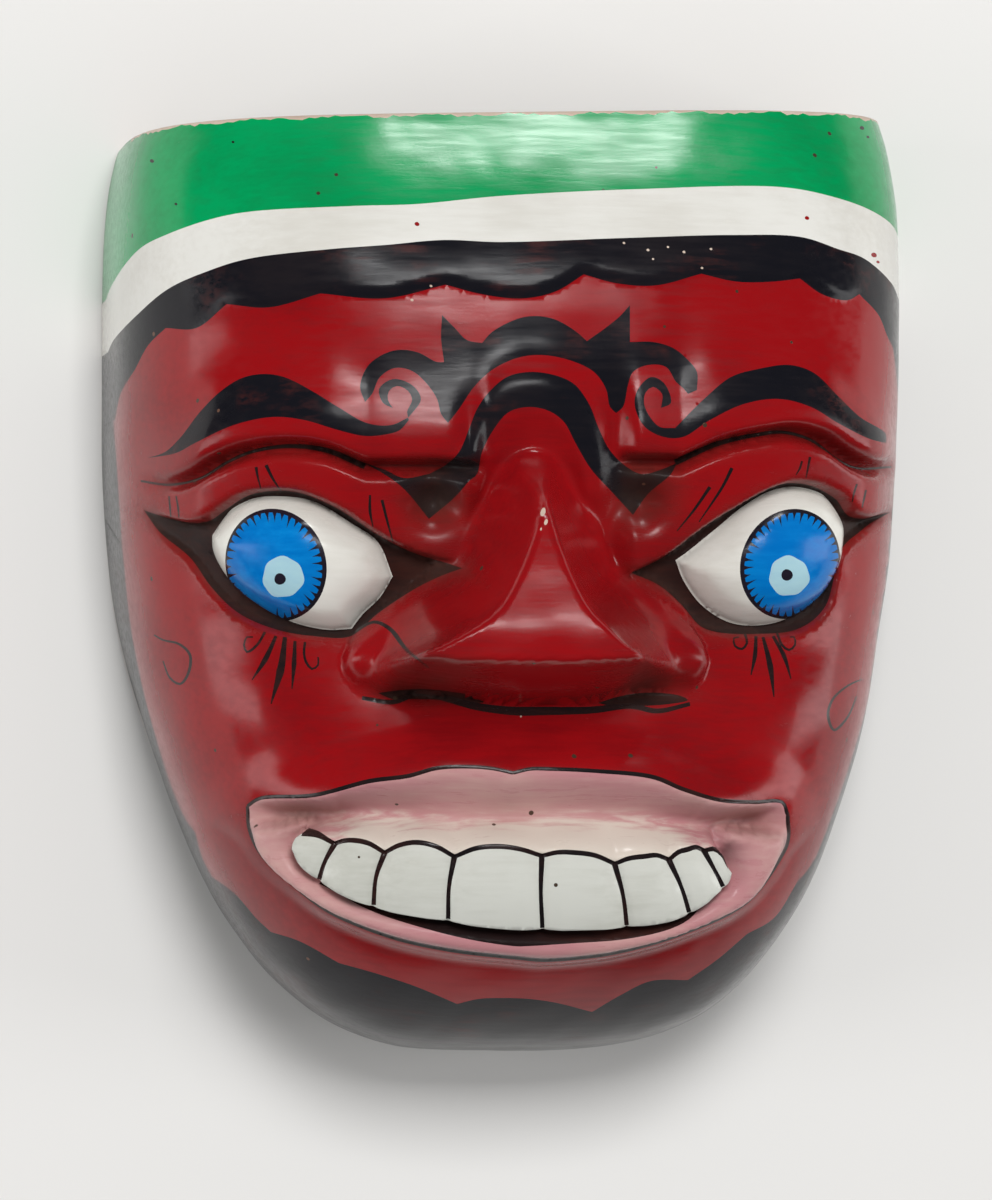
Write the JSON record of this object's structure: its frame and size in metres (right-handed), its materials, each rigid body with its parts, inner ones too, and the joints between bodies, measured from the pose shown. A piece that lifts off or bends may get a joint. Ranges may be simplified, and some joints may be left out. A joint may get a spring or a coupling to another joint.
{
  "type": "devil mask",
  "caption": "Carved and painted wooden devil face mask, broad and grinning, with a flat-cut top, a hollow back and a flat rim that it lies on.",
  "frame": {"origin": "middle of the flat rim at the back, on the surface that the mask lies on", "axes": "+Z out of the face, +Y to the flat-cut top of the head, +X to the right of a viewer who faces the mask"},
  "size_m": [0.189, 0.2207, 0.1145],
  "materials": {
    "painted_wood": "glossy enamel over carved wood"
  },
  "bodies": {
    "root": {"mask": "painted_wood"}
  },
  "joints": []
}
